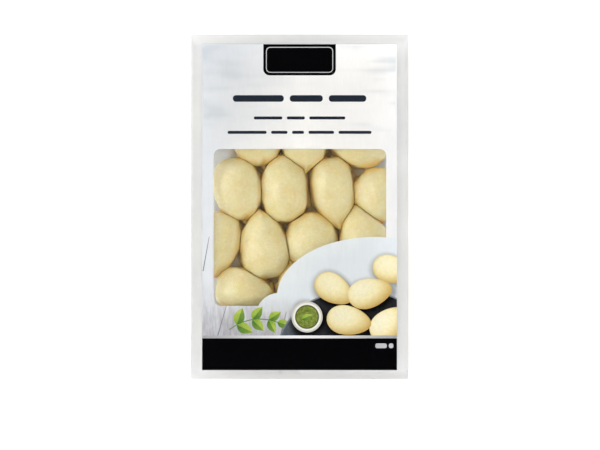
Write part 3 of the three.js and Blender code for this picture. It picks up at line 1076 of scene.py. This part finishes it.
def paint_film(mesh, owner, names):
    """Gives each face its ink and each corner of the upper faces its colour."""
    colours = np.ones((len(mesh.loops), 4))
    mottles = np.zeros(len(mesh.loops))
    inks = np.full(len(mesh.polygons), names.index("seal"))
    for polygon in mesh.polygons[: 2 * len(owner)]:
        shape_index = owner[polygon.index % len(owner)]
        lower = polygon.index >= len(owner)
        _, painter, ink = SHAPES[shape_index] if shape_index >= 0 else (None, margin_paint, "seal")
        inks[polygon.index] = names.index("window" if lower else ink)
        if painter is None or lower:
            continue
        for loop in polygon.loop_indices:
            x, y, _ = mesh.vertices[mesh.loops[loop].vertex_index].co / MM
            red, green, blue, mottles[loop] = painter(x, y)
            colours[loop, :3] = inked(red, green, blue)
    mesh.polygons.foreach_set("material_index", inks)
    mesh.color_attributes.new("print", "FLOAT_COLOR", "CORNER")
    mesh.attributes.new("mottle", "FLOAT", "CORNER")
    mesh.attributes["print"].data.foreach_set("color", colours.ravel())
    mesh.attributes["mottle"].data.foreach_set("value", mottles)
    mesh.update()


# ------------------------------------------------------------------ studio
CAMERA_DISTANCE = 1.5
FRAME_WIDTH = 400 * MM  # real width that the picture spans at the film
AIM = Vector((0.3 * MM, -12.2 * MM, FILM_HIGH.z))
FLOOR_HALF = 6.0
FLOOR_GAP = 0.2 * MM  # keeps the floor clear of the tray's clear underside
LAMP_DISTANCE = 2.6
LAMPS = (  # name, compass side and height in degrees, width in metres, watts, seen in gloss
    ("overhead", 0, 90, 1.8, 41, False),
    ("key", 172, 48, 1.6, 33, True),
    ("fill", -15, 36, 1.6, 13.5, True),
    ("far_end", 90, 46, 1.6, 5.5, True),
    ("near_end", 270, 46, 1.6, 7, True),
    ("left_side", 180, 18, 1.3, 38, False),
    ("right_side", 0, 18, 1.3, 22, False),
    ("far_side", 90, 18, 1.3, 16, False),
    ("near_side", 270, 18, 1.3, 16, False),
)
ROOM_STRENGTH = 0.28
ROOM_PALE_TO, ROOM_DARK_FROM = 0.35, 0.85  # sines of the heights where the room's light fades


def make_floor():
    corners = [(x * FLOOR_HALF, y * FLOOR_HALF, -FLOOR_GAP) for x, y in SQUARE]
    floor = mesh_object("floor", corners, [(0, 1, 2, 3)], [floor_material()], smooth=False)


def make_camera():
    """A camera straight above the pack, with its top edge up in the picture."""
    lens = bpy.data.cameras.new("camera")
    lens.sensor_width = 36
    lens.lens = lens.sensor_width * CAMERA_DISTANCE / FRAME_WIDTH
    lens.clip_end = 50
    camera = bpy.data.objects.new("camera", lens)
    bpy.context.scene.collection.objects.link(camera)
    camera.location = AIM + Vector((0, 0, CAMERA_DISTANCE))
    bpy.context.scene.camera = camera


def soft_light(name, azimuth, elevation, size, power, mirrored):
    """A square lamp that faces the pack."""
    lamp = bpy.data.lights.new(name, "AREA")
    lamp.shape = "SQUARE"
    lamp.size = size
    lamp.energy = power
    made = bpy.data.objects.new(name, lamp)
    made.visible_glossy = mirrored
    bpy.context.scene.collection.objects.link(made)
    turn, lift = math.radians(azimuth), math.radians(elevation)
    level = math.cos(lift)
    away = Vector((level * math.cos(turn), level * math.sin(turn), math.sin(lift)))
    made.location = away * LAMP_DISTANCE
    made.rotation_euler = away.to_track_quat("Z", "Y").to_euler()


def make_world():
    """A pale room that is dark straight overhead, so that flat film shows no glare from above."""
    world = bpy.data.worlds.new("studio")
    bpy.context.scene.world = world
    world.use_nodes = True
    nodes, links = world.node_tree.nodes, world.node_tree.links
    nodes.clear()
    coords = nodes.new("ShaderNodeTexCoord")
    split = nodes.new("ShaderNodeSeparateXYZ")
    ramp = nodes.new("ShaderNodeValToRGB")
    low, high = ramp.color_ramp.elements
    low.position, low.color = ROOM_PALE_TO, WHITE
    high.position, high.color = ROOM_DARK_FROM, BLACK
    back = nodes.new("ShaderNodeBackground")
    back.inputs["Strength"].default_value = ROOM_STRENGTH
    out = nodes.new("ShaderNodeOutputWorld")
    links.new(coords.outputs["Generated"], split.inputs[0])
    links.new(split.outputs["Z"], ramp.inputs["Fac"])
    links.new(ramp.outputs["Color"], back.inputs["Color"])
    links.new(back.outputs[0], out.inputs["Surface"])


def make_studio():
    make_floor()
    make_camera()
    make_world()
    for lamp in LAMPS:
        soft_light(*lamp)
    bpy.context.scene.view_settings.view_transform = "Standard"


# ------------------------------------------------------------------ assembly
make_studio()
lay_out_print()
make_film(
    {
        "seal": seal_material(),
        "wood": print_material("print_boards", boards=True),
        "ink": print_material("print_ink"),
        "window": clear_sheet_material(
            "clear_window",
            tint=(0.99, 0.99, 0.98),
            edge_tint=(0.9, 0.91, 0.91),
            haze=0.005,
            haze_colour=(0.9, 0.9, 0.88),
        ),
    }
)
make_tray(
    clear_sheet_material(
        "clear_tray",
        tint=(0.985, 0.988, 0.988),
        edge_tint=(0.62, 0.66, 0.67),
        haze=0.04,
        haze_colour=(0.9, 0.9, 0.89),
        # painted shade: brownish tint well inside the walls, for the shade in the gaps between
        # dumplings
        shade_tint=(0.86, 0.77, 0.62),
    )
)
make_dumplings(dough_material())
